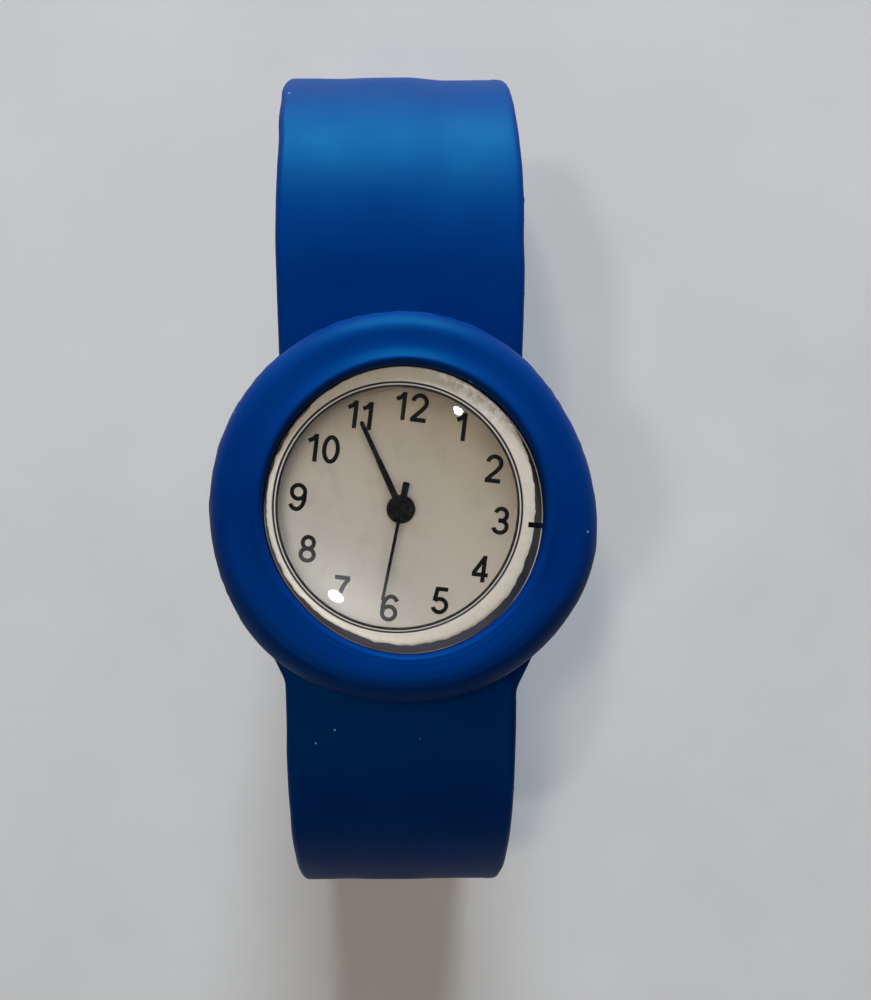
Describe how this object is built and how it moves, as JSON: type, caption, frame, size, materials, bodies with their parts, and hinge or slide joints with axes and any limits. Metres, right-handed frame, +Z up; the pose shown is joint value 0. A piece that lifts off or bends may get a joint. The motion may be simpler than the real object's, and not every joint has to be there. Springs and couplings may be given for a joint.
{
  "type": "toy watch",
  "caption": "Blue silicone slap-band watch: a round chromed three-hand head pushes into a silicone ring on a band that curls closed round the wrist.",
  "frame": {"origin": "centre of the closed band's footprint, on the table under the band's ends", "axes": "+Z up, out of the dial; +Y along the band towards the 12 o'clock side; +X across the band towards the 3 o'clock side"},
  "size_m": [0.04, 0.105, 0.0638],
  "materials": {
    "silicone": "satin",
    "spring_steel": "satin",
    "chrome_case": "polished",
    "clear_crystal": "polished",
    "black_rubber": "matte",
    "steel": "satin",
    "white_dial": "matte",
    "white_plastic": "matte",
    "dark_plastic": "matte",
    "green_board": "satin",
    "copper_wire": "satin",
    "soft_iron": "satin",
    "brass": "satin",
    "contact_metal": "satin",
    "black_hands": "gloss"
  },
  "bodies": {
    "band": {"band_centre": "silicone", "spring_centre": "spring_steel"},
    "upper_1": {"upper_band_1": "silicone", "upper_spring_1": "spring_steel"},
    "upper_2": {"upper_band_2": "silicone", "upper_spring_2": "spring_steel"},
    "upper_3": {"upper_band_3": "silicone", "upper_spring_3": "spring_steel"},
    "upper_4": {"upper_band_4": "silicone", "upper_spring_4": "spring_steel"},
    "upper_5": {"upper_band_5": "silicone", "upper_spring_5": "spring_steel"},
    "upper_6": {"upper_band_6": "silicone", "upper_spring_6": "spring_steel"},
    "lower_1": {"lower_band_1": "silicone", "lower_spring_1": "spring_steel"},
    "lower_2": {"lower_band_2": "silicone", "lower_spring_2": "spring_steel"},
    "lower_3": {"lower_band_3": "silicone", "lower_spring_3": "spring_steel"},
    "lower_4": {"lower_band_4": "silicone", "lower_spring_4": "spring_steel"},
    "lower_5": {"lower_band_5": "silicone", "lower_spring_5": "spring_steel"},
    "lower_6": {"lower_band_6": "silicone", "lower_spring_6": "spring_steel"},
    "head": {"watch_case": "chrome_case", "crystal": "clear_crystal", "crystal_seal": "black_rubber", "case_back": "steel", "case_back_gasket": "black_rubber", "dial": "white_dial", "movement_holder": "white_plastic", "main_plate": "dark_plastic", "train_bridge": "steel", "movement_screws": "steel", "circuit_board": "green_board", "quartz_can": "steel", "coil": "copper_wire", "coil_core": "soft_iron", "stator": "soft_iron", "dial_washer": "brass", "battery": "steel", "battery_clip": "contact_metal", "battery_contact": "contact_metal"},
    "seconds": {"seconds_wheel": "brass", "second_hand": "black_hands"},
    "rotor": {"rotor": "soft_iron"},
    "intermediate": {"intermediate_wheel": "white_plastic"},
    "third": {"third_wheel": "brass"},
    "centre": {"centre_wheel": "brass"},
    "minutes": {"cannon_pinion": "steel", "minute_hand": "black_hands"},
    "minute_wheel": {"minute_wheel": "brass"},
    "hours": {"hour_wheel": "brass", "hour_hand": "black_hands"},
    "setting": {"setting_lever": "steel"},
    "winding": {"stem": "steel", "crown": "chrome_case", "sliding_pinion": "steel"}
  },
  "joints": [
    {"name": "upper_curl_1", "type": "hinge", "parent": "band", "child": "upper_1", "pos_m": [0, 0.03175, 0.05505], "axis": [1, 0, 0], "range_deg": [0, 30], "stiffness_Nm_per_rad": 0.02},
    {"name": "upper_curl_2", "type": "hinge", "parent": "upper_1", "child": "upper_2", "pos_m": [0, 0.0443, 0.0478], "axis": [1, 0, 0], "range_deg": [0, 30]},
    {"name": "upper_curl_3", "type": "hinge", "parent": "upper_2", "child": "upper_3", "pos_m": [0, 0.05155, 0.03525], "axis": [1, 0, 0], "range_deg": [0, 30]},
    {"name": "upper_curl_4", "type": "hinge", "parent": "upper_3", "child": "upper_4", "pos_m": [0, 0.05155, 0.02075], "axis": [1, 0, 0], "range_deg": [0, 30]},
    {"name": "upper_curl_5", "type": "hinge", "parent": "upper_4", "child": "upper_5", "pos_m": [0, 0.0443, 0.0082], "axis": [1, 0, 0], "range_deg": [0, 30]},
    {"name": "upper_curl_6", "type": "hinge", "parent": "upper_5", "child": "upper_6", "pos_m": [0, 0.03175, 0.00095], "axis": [1, 0, 0], "range_deg": [0, 30]},
    {"name": "lower_curl_1", "type": "hinge", "parent": "band", "child": "lower_1", "pos_m": [0, -0.03175, 0.05505], "axis": [-1, 0, 0], "range_deg": [0, 30], "stiffness_Nm_per_rad": 0.02},
    {"name": "lower_curl_2", "type": "hinge", "parent": "lower_1", "child": "lower_2", "pos_m": [0, -0.0443, 0.0478], "axis": [-1, 0, 0], "range_deg": [0, 30]},
    {"name": "lower_curl_3", "type": "hinge", "parent": "lower_2", "child": "lower_3", "pos_m": [0, -0.05155, 0.03525], "axis": [-1, 0, 0], "range_deg": [0, 30]},
    {"name": "lower_curl_4", "type": "hinge", "parent": "lower_3", "child": "lower_4", "pos_m": [0, -0.05155, 0.02075], "axis": [-1, 0, 0], "range_deg": [0, 30]},
    {"name": "lower_curl_5", "type": "hinge", "parent": "lower_4", "child": "lower_5", "pos_m": [0, -0.0443, 0.0082], "axis": [-1, 0, 0], "range_deg": [0, 30]},
    {"name": "lower_curl_6", "type": "hinge", "parent": "lower_5", "child": "lower_6", "pos_m": [0, -0.03175, 0.00095], "axis": [-1, 0, 0], "range_deg": [0, 30]},
    {"name": "head_lift", "type": "slide", "parent": "band", "child": "head", "axis": [0, 0, 1], "range_m": [0, 0.01]},
    {"name": "second_hand_spin", "type": "hinge", "parent": "head", "child": "seconds", "pos_m": [0, 0, 0.058], "axis": [0, 0, -1], "continuous": true},
    {"name": "rotor_spin", "type": "hinge", "parent": "head", "child": "rotor", "pos_m": [-0.0003, 0.00578, 0.058], "axis": [0, 0, -1], "continuous": true},
    {"name": "intermediate_spin", "type": "hinge", "parent": "head", "child": "intermediate", "pos_m": [-0.00018, 0.00348, 0.058], "axis": [0, 0, -1], "continuous": true},
    {"name": "third_spin", "type": "hinge", "parent": "head", "child": "third", "pos_m": [0.00133, -0.00313, 0.058], "axis": [0, 0, -1], "continuous": true},
    {"name": "centre_spin", "type": "hinge", "parent": "head", "child": "centre", "pos_m": [0, 0, 0.058], "axis": [0, 0, -1], "continuous": true},
    {"name": "minute_hand_spin", "type": "hinge", "parent": "head", "child": "minutes", "pos_m": [0, 0, 0.06], "axis": [0, 0, -1], "continuous": true},
    {"name": "minute_wheel_spin", "type": "hinge", "parent": "head", "child": "minute_wheel", "pos_m": [0.00281, 0.00065, 0.0595], "axis": [0, 0, -1], "continuous": true},
    {"name": "hour_hand_spin", "type": "hinge", "parent": "head", "child": "hours", "pos_m": [0, 0, 0.06], "axis": [0, 0, -1], "continuous": true},
    {"name": "crown_pull", "type": "slide", "parent": "head", "child": "setting", "axis": [0.9925, -0.1219, 0], "range_m": [0, 0.0008]},
    {"name": "crown_spin", "type": "hinge", "parent": "setting", "child": "winding", "pos_m": [0.0134, -0.00165, 0.05795], "axis": [0.9925, -0.1219, 0], "continuous": true}
  ],
  "couplings": [
    {"joint": "upper_curl_2", "follows": "upper_curl_1", "ratio": 1},
    {"joint": "upper_curl_3", "follows": "upper_curl_1", "ratio": 1},
    {"joint": "upper_curl_4", "follows": "upper_curl_1", "ratio": 1},
    {"joint": "upper_curl_5", "follows": "upper_curl_1", "ratio": 1},
    {"joint": "upper_curl_6", "follows": "upper_curl_1", "ratio": 1},
    {"joint": "lower_curl_2", "follows": "lower_curl_1", "ratio": 1},
    {"joint": "lower_curl_3", "follows": "lower_curl_1", "ratio": 1},
    {"joint": "lower_curl_4", "follows": "lower_curl_1", "ratio": 1},
    {"joint": "lower_curl_5", "follows": "lower_curl_1", "ratio": 1},
    {"joint": "lower_curl_6", "follows": "lower_curl_1", "ratio": 1},
    {"joint": "rotor_spin", "follows": "second_hand_spin", "ratio": 30},
    {"joint": "intermediate_spin", "follows": "second_hand_spin", "ratio": -5},
    {"joint": "third_spin", "follows": "second_hand_spin", "ratio": -0.13333},
    {"joint": "centre_spin", "follows": "second_hand_spin", "ratio": 0.016667},
    {"joint": "minute_wheel_spin", "follows": "minute_hand_spin", "ratio": -0.33333},
    {"joint": "hour_hand_spin", "follows": "minute_hand_spin", "ratio": 0.083333}
  ]
}
